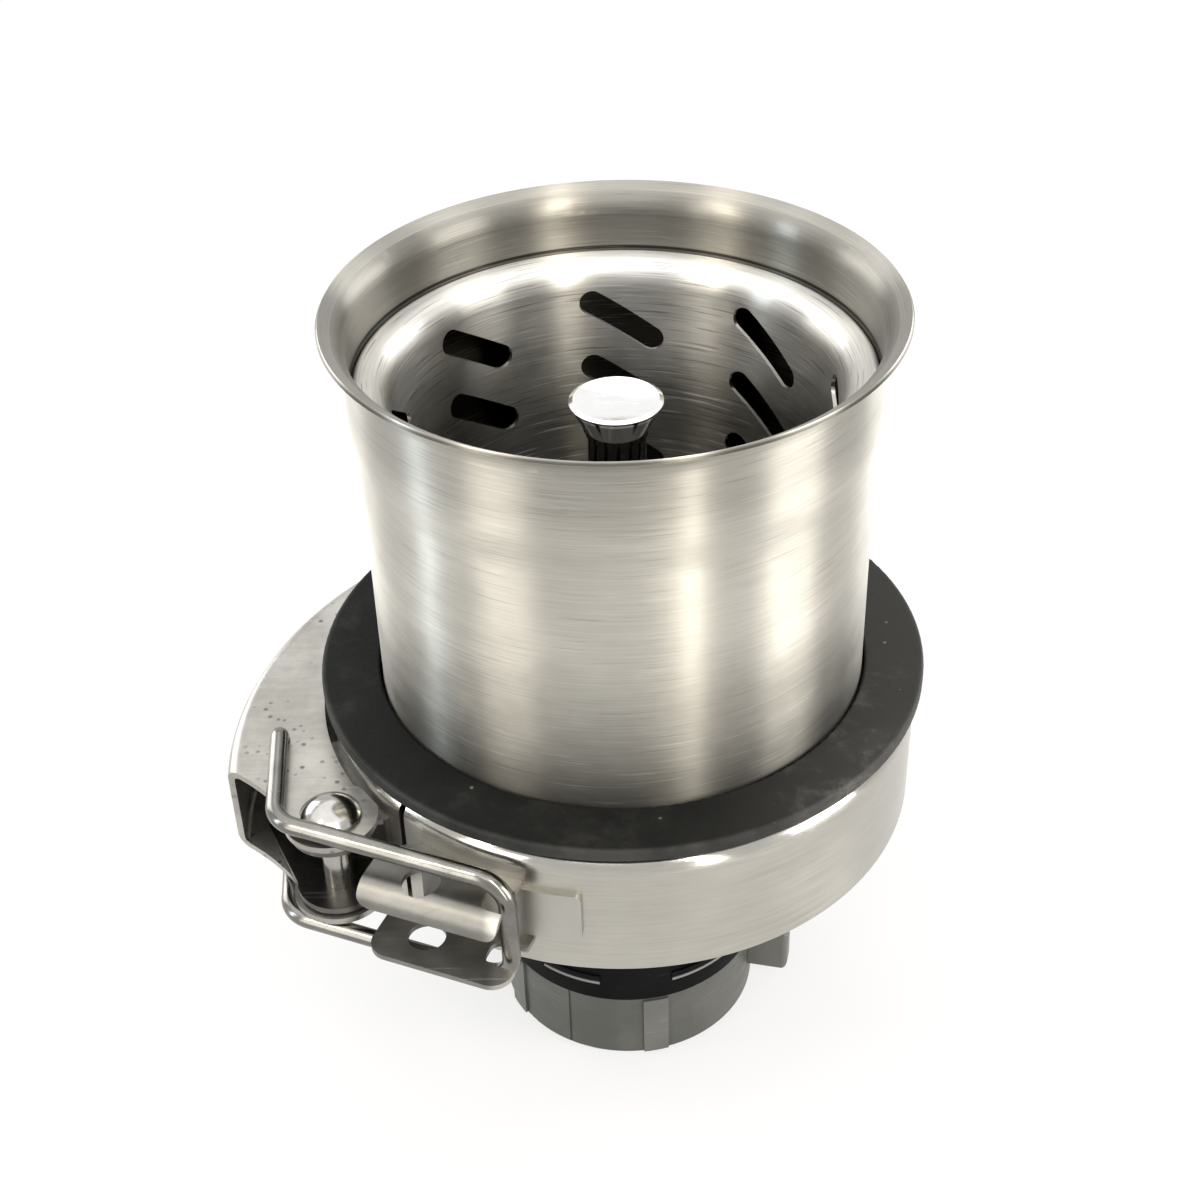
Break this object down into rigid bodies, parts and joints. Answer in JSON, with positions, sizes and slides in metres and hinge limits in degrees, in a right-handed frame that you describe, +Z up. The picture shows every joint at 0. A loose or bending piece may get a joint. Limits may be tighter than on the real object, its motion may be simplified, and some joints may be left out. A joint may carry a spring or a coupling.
{
  "type": "basket strainer drain",
  "caption": "Sink basket strainer drain: flared steel tube, lift-out slotted basket, rubber seat gasket, split clamp band with an over-centre wire latch, plastic outlet with a hand nut.",
  "frame": {"origin": "on the drain's axis, at the bottom face of the coupling nut, where the waste pipe enters", "axes": "+Z up along the drain's axis, towards the flared rim; the picture is taken from -Y, with +X to its right"},
  "size_m": [0.1579, 0.1468, 0.1919],
  "materials": {
    "brushed_tube": "satin, brushed around the tube",
    "basket_steel": "brushed around the wall",
    "band_steel": "satin with a polished shoulder",
    "latch_steel": "rolled sheet, lightly scratched",
    "wire_steel": "polished",
    "hardware_steel": "plain bright",
    "chrome": "polished",
    "rubber": "matt, scuffed",
    "black_plastic": "moulded, slightly glossy",
    "grey_plastic": "moulded, satin"
  },
  "bodies": {
    "base": {"strainer_body": "brushed_tube", "seat_gasket": "rubber", "flange_seal": "rubber", "clamp_band": "band_steel", "pivot_bracket": "latch_steel", "pivot_rivet": "wire_steel", "rivet_washer_upper": "hardware_steel", "rivet_washer_lower": "hardware_steel", "catch_bracket": "latch_steel", "outlet_cup": "black_plastic", "cone_washer": "rubber"},
    "basket": {"basket": "basket_steel", "basket_post": "chrome", "lifting_knob": "chrome", "post_washer": "hardware_steel", "post_screw": "hardware_steel"},
    "lever": {"latch_lever": "latch_steel"},
    "bail": {"wire_bail": "wire_steel"},
    "nut": {"coupling_nut": "grey_plastic"}
  },
  "joints": [
    {"name": "basket_lift", "type": "slide", "parent": "base", "child": "basket", "axis": [0, 0, 1], "range_m": [0, 0.09]},
    {"name": "lever_swing", "type": "hinge", "parent": "base", "child": "lever", "pos_m": [-0.0633, -0.0455, 0.08325], "axis": [0, 0, 1], "range_deg": [0, 100]},
    {"name": "bail_swing", "type": "hinge", "parent": "lever", "child": "bail", "pos_m": [-0.07729, -0.02033, 0.08325], "axis": [0, 0, 1], "range_deg": [-62, 0]},
    {"name": "nut_turn", "type": "hinge", "parent": "base", "child": "nut", "pos_m": [0, 0, 0], "axis": [0, 0, 1], "continuous": true}
  ],
  "couplings": [
    {"joint": "bail_swing", "follows": "lever_swing", "ratio": -0.62}
  ]
}
